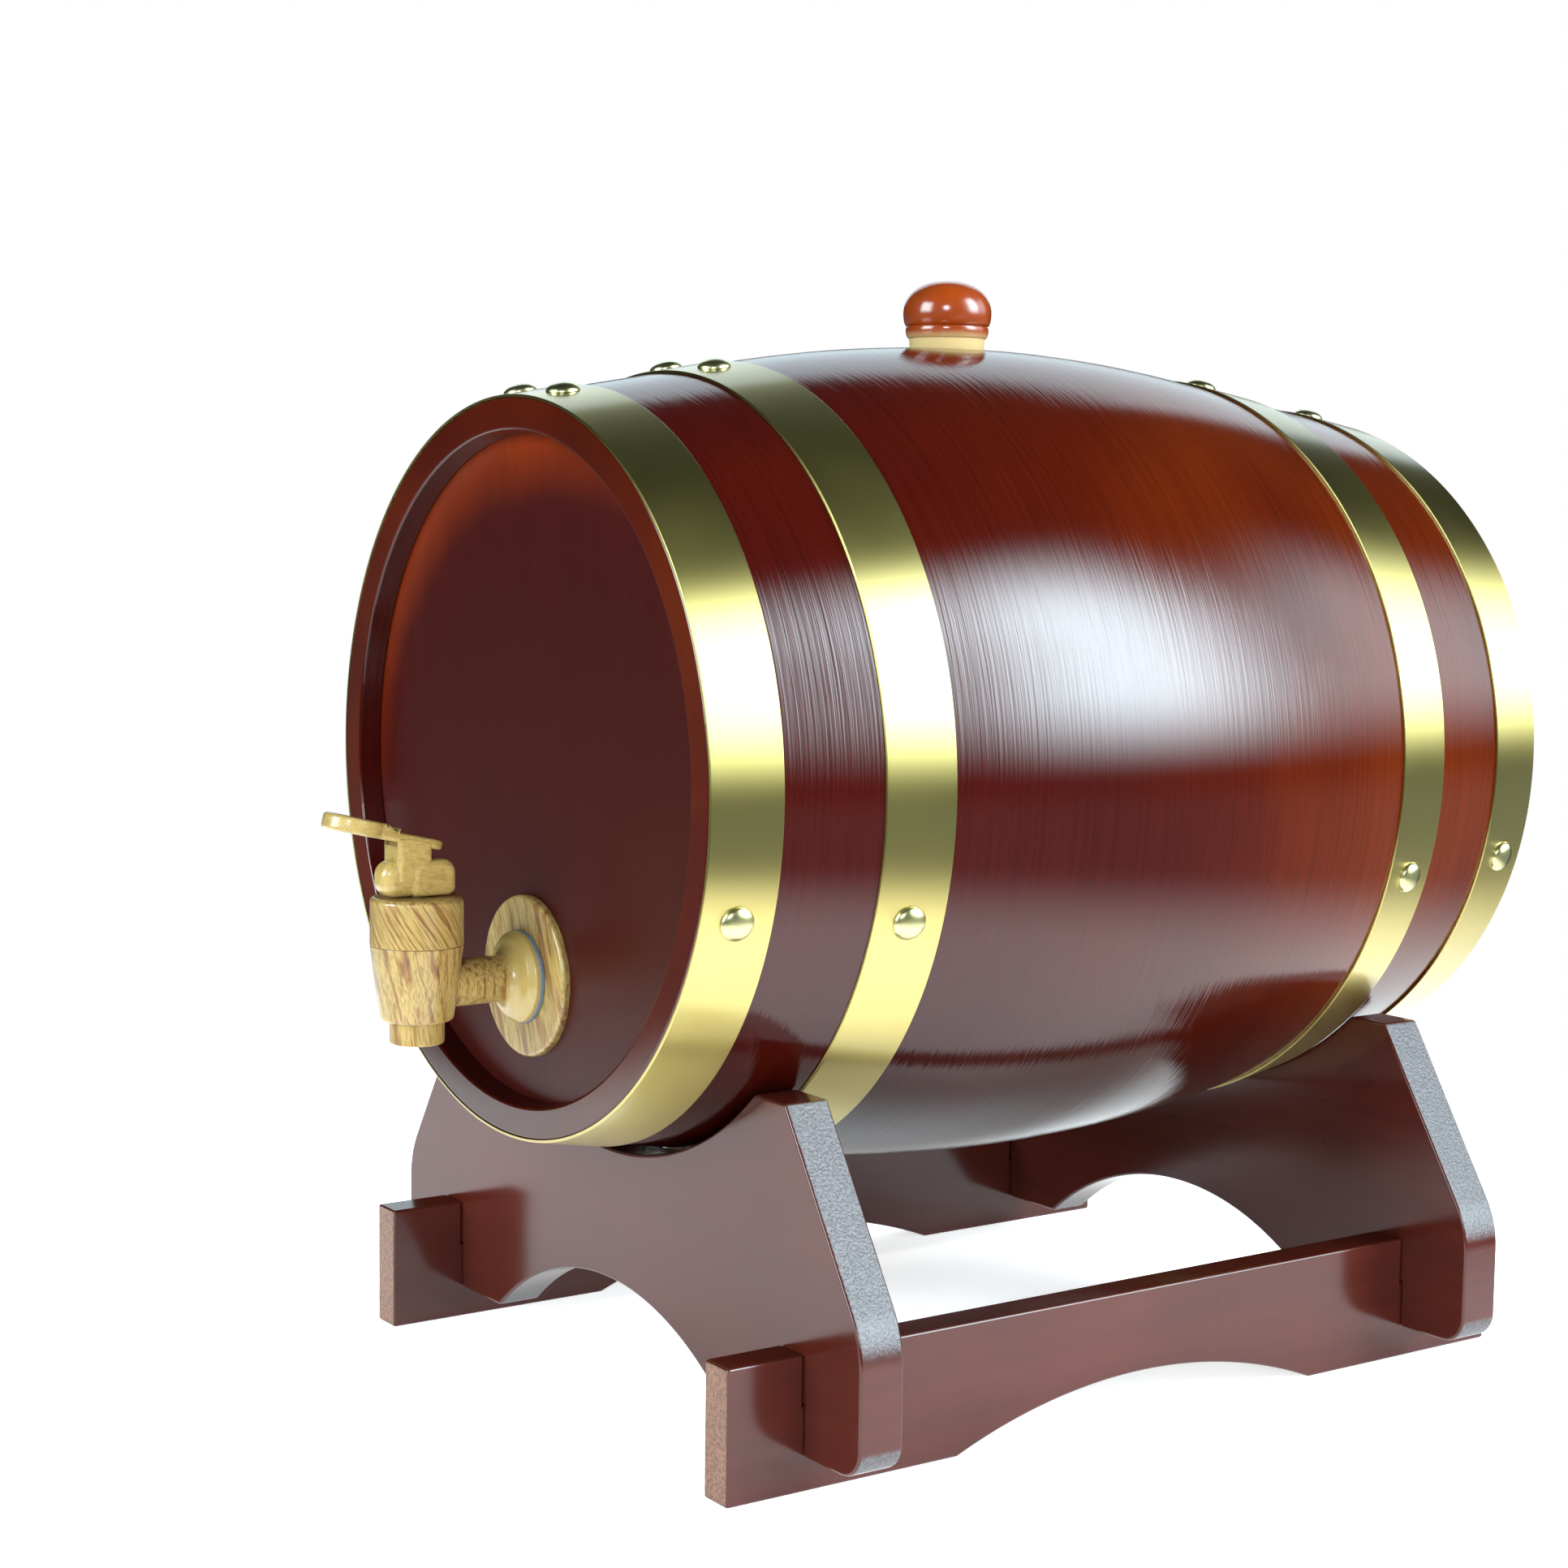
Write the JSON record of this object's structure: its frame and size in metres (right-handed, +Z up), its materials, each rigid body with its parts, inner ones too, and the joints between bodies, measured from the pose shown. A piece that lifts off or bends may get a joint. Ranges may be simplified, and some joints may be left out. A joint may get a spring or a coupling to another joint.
{
  "type": "wooden barrel on stand",
  "caption": "Small wine barrel of bent staves lying on a lapped wooden stand, with brass hoops, a bung and a lever tap in its front head.",
  "frame": {"origin": "on the floor, under the middle of the whole object's box", "axes": "+Z up, Y along the barrel with the tap at the low end, +X across the barrel"},
  "size_m": [0.2742, 0.3914, 0.3555],
  "materials": {
    "barrel_wood": "red-brown stain under gloss lacquer",
    "head_wood": "red-brown stain under gloss lacquer",
    "hoop_brass": "polished",
    "nail_brass": "polished",
    "bung_wood": "orange-brown lacquer, bare on the plug",
    "tap_plastic": "printed with a light wood grain",
    "plain_plastic": "moulded",
    "gasket_rubber": "matt",
    "cup_rubber": "matt",
    "spring_steel": "bright",
    "stand_wood": "red-brown stain under gloss lacquer"
  },
  "bodies": {
    "stand": {"front_cradle": "stand_wood", "back_cradle": "stand_wood", "left_rail": "stand_wood", "right_rail": "stand_wood"},
    "barrel": {"bung_stave": "barrel_wood", "stave_01": "barrel_wood", "stave_02": "barrel_wood", "stave_03": "barrel_wood", "stave_04": "barrel_wood", "stave_05": "barrel_wood", "stave_06": "barrel_wood", "stave_07": "barrel_wood", "stave_08": "barrel_wood", "stave_09": "barrel_wood", "stave_10": "barrel_wood", "stave_11": "barrel_wood", "stave_12": "barrel_wood", "stave_13": "barrel_wood", "stave_14": "barrel_wood", "stave_15": "barrel_wood", "front_head": "head_wood", "back_head": "head_wood", "front_end_hoop": "hoop_brass", "front_inner_hoop": "hoop_brass", "back_inner_hoop": "hoop_brass", "back_end_hoop": "hoop_brass", "hoop_nails": "nail_brass", "tap_body": "tap_plastic", "tap_disc": "tap_plastic", "tap_gasket": "gasket_rubber", "tap_inner_gasket": "gasket_rubber", "tap_nut": "plain_plastic", "tap_collar": "tap_plastic"},
    "bung": {"bung": "bung_wood"},
    "valve": {"valve_stem": "plain_plastic", "valve_cup": "cup_rubber", "valve_spring": "spring_steel"},
    "lever": {"tap_lever": "tap_plastic"}
  },
  "joints": [
    {"name": "barrel_lift", "type": "slide", "parent": "stand", "child": "barrel", "axis": [0, 0, 1], "range_m": [0, 0.12]},
    {"name": "bung_pull", "type": "slide", "parent": "barrel", "child": "bung", "axis": [0, 0, 1], "range_m": [0, 0.045]},
    {"name": "stem_lift", "type": "slide", "parent": "barrel", "child": "valve", "axis": [0, 0, 1], "range_m": [0, 0.0025], "stiffness_N_per_m": 400, "springref_m": -0.004, "deforming": ["valve_cup", "valve_spring"]},
    {"name": "lever_tilt", "type": "hinge", "parent": "valve", "child": "lever", "pos_m": [0, -0.16531, 0.17], "axis": [1, 0, 0], "range_deg": [0, 20]}
  ],
  "couplings": [
    {"joint": "lever_tilt", "follows": "stem_lift", "rad_per_m": 133.33}
  ]
}
